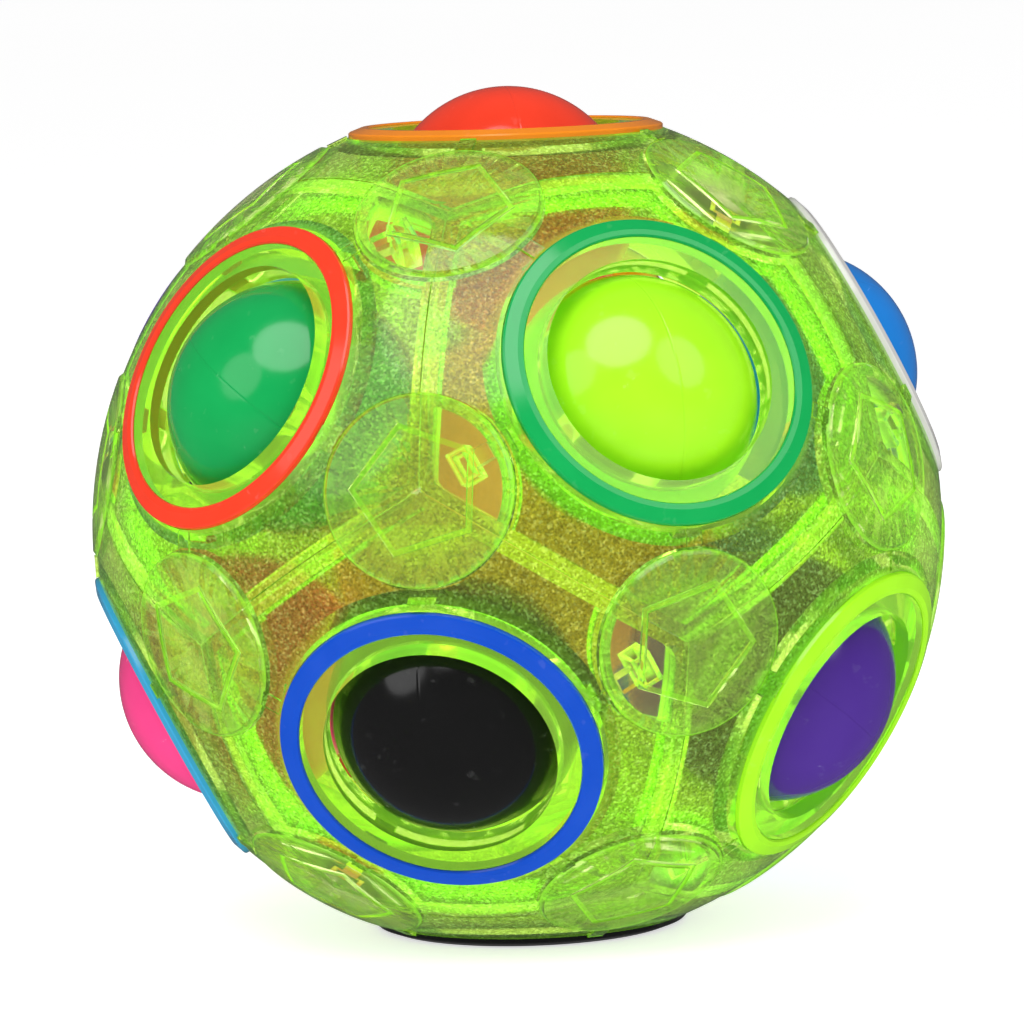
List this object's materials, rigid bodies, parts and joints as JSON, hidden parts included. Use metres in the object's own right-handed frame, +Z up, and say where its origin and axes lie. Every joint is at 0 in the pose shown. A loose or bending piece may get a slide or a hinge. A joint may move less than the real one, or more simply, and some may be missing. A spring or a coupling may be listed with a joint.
{
  "type": "ball puzzle",
  "caption": "Hollow translucent sphere of curved plates with ringed holes, each holding a coloured ball that can be pushed in and moved to the one empty hole.",
  "frame": {"origin": "centre of the bottom hole, on the plane of the ring crown that the puzzle stands on", "axes": "+Z up through the top hole; -Y is the front, towards the lower hole that holds the black ball; +X to the right seen from the front"},
  "size_m": [0.07, 0.0704, 0.0696],
  "materials": {
    "shell_green": "clear lime green with fine glitter, moulded",
    "core_soft": "soft orange rubber, matt",
    "plastic_orange": "glossy opaque",
    "plastic_green": "glossy opaque",
    "plastic_white": "glossy opaque",
    "plastic_yellow": "glossy opaque",
    "plastic_purple": "glossy opaque",
    "plastic_red": "glossy opaque",
    "plastic_blue": "glossy opaque",
    "plastic_lime": "glossy opaque",
    "plastic_azure": "glossy opaque",
    "plastic_pink": "glossy opaque",
    "plastic_cyan": "glossy opaque",
    "plastic_black": "glossy opaque"
  },
  "bodies": {
    "shell": {"plate_top": "shell_green", "plate_upper_1": "shell_green", "plate_upper_2": "shell_green", "plate_upper_3": "shell_green", "plate_upper_4": "shell_green", "plate_upper_5": "shell_green", "plate_lower_1": "shell_green", "plate_lower_2": "shell_green", "plate_lower_3": "shell_green", "plate_lower_4": "shell_green", "plate_lower_5": "shell_green", "plate_bottom": "shell_green", "ring_orange": "plastic_orange", "ring_green": "plastic_green", "ring_white": "plastic_white", "ring_yellow": "plastic_yellow", "ring_purple": "plastic_purple", "ring_red": "plastic_red", "ring_blue": "plastic_blue", "ring_lime": "plastic_lime", "ring_azure": "plastic_azure", "ring_pink": "plastic_pink", "ring_cyan": "plastic_cyan", "ring_black": "plastic_black", "cap_top_1": "shell_green", "cap_upper_1": "shell_green", "cap_lower_1": "shell_green", "cap_bottom_1": "shell_green", "cap_top_2": "shell_green", "cap_upper_2": "shell_green", "cap_lower_2": "shell_green", "cap_bottom_2": "shell_green", "cap_top_3": "shell_green", "cap_upper_3": "shell_green", "cap_lower_3": "shell_green", "cap_bottom_3": "shell_green", "cap_top_4": "shell_green", "cap_upper_4": "shell_green", "cap_lower_4": "shell_green", "cap_bottom_4": "shell_green", "cap_top_5": "shell_green", "cap_upper_5": "shell_green", "cap_lower_5": "shell_green", "cap_bottom_5": "shell_green", "core": "core_soft"},
    "red_ball": {"ball_red": "plastic_red"},
    "lime_ball": {"ball_lime": "plastic_lime"},
    "azure_ball": {"ball_azure": "plastic_azure"},
    "orange_ball": {"ball_orange": "plastic_orange"},
    "cyan_ball": {"ball_cyan": "plastic_cyan"},
    "green_ball": {"ball_green": "plastic_green"},
    "black_ball": {"ball_black": "plastic_black"},
    "purple_ball": {"ball_purple": "plastic_purple"},
    "blue_ball": {"ball_blue": "plastic_blue"},
    "yellow_ball": {"ball_yellow": "plastic_yellow"},
    "pink_ball": {"ball_pink": "plastic_pink"}
  },
  "joints": [
    {"name": "red_ball_push", "type": "slide", "parent": "shell", "child": "red_ball", "axis": [0, 0, -1], "range_m": [0, 0.005], "stiffness_N_per_m": 200, "springref_m": -0.002, "deforming": ["core"]},
    {"name": "lime_ball_push", "type": "slide", "parent": "shell", "child": "lime_ball", "axis": [-0.5257, 0.7236, -0.4472], "range_m": [0, 0.005], "stiffness_N_per_m": 200, "springref_m": -0.002, "deforming": ["core"]},
    {"name": "azure_ball_push", "type": "slide", "parent": "shell", "child": "azure_ball", "axis": [-0.8507, -0.2764, -0.4472], "range_m": [0, 0.005], "stiffness_N_per_m": 200, "springref_m": -0.002, "deforming": ["core"]},
    {"name": "orange_ball_push", "type": "slide", "parent": "shell", "child": "orange_ball", "axis": [0, -0.8944, -0.4472], "range_m": [0, 0.005], "stiffness_N_per_m": 200, "springref_m": -0.002, "deforming": ["core"]},
    {"name": "cyan_ball_push", "type": "slide", "parent": "shell", "child": "cyan_ball", "axis": [0.8507, -0.2764, -0.4472], "range_m": [0, 0.005], "stiffness_N_per_m": 200, "springref_m": -0.002, "deforming": ["core"]},
    {"name": "green_ball_push", "type": "slide", "parent": "shell", "child": "green_ball", "axis": [0.5257, 0.7236, -0.4472], "range_m": [0, 0.005], "stiffness_N_per_m": 200, "springref_m": -0.002, "deforming": ["core"]},
    {"name": "black_ball_transfer", "type": "hinge", "parent": "shell", "child": "black_ball", "pos_m": [0, -0.02082, -0.0004], "axis": [-1, 0, 0], "range_deg": [0, 76.56], "deforming": ["core"]},
    {"name": "purple_ball_push", "type": "slide", "parent": "shell", "child": "purple_ball", "axis": [-0.8507, 0.2764, 0.4472], "range_m": [0, 0.005], "stiffness_N_per_m": 200, "springref_m": -0.002, "deforming": ["core"]},
    {"name": "blue_ball_push", "type": "slide", "parent": "shell", "child": "blue_ball", "axis": [-0.5257, -0.7236, 0.4472], "range_m": [0, 0.005], "stiffness_N_per_m": 200, "springref_m": -0.002, "deforming": ["core"]},
    {"name": "yellow_ball_push", "type": "slide", "parent": "shell", "child": "yellow_ball", "axis": [0.5257, -0.7236, 0.4472], "range_m": [0, 0.005], "stiffness_N_per_m": 200, "springref_m": -0.002, "deforming": ["core"]},
    {"name": "pink_ball_push", "type": "slide", "parent": "shell", "child": "pink_ball", "axis": [0.8507, 0.2764, 0.4472], "range_m": [0, 0.005], "stiffness_N_per_m": 200, "springref_m": -0.002, "deforming": ["core"]}
  ]
}
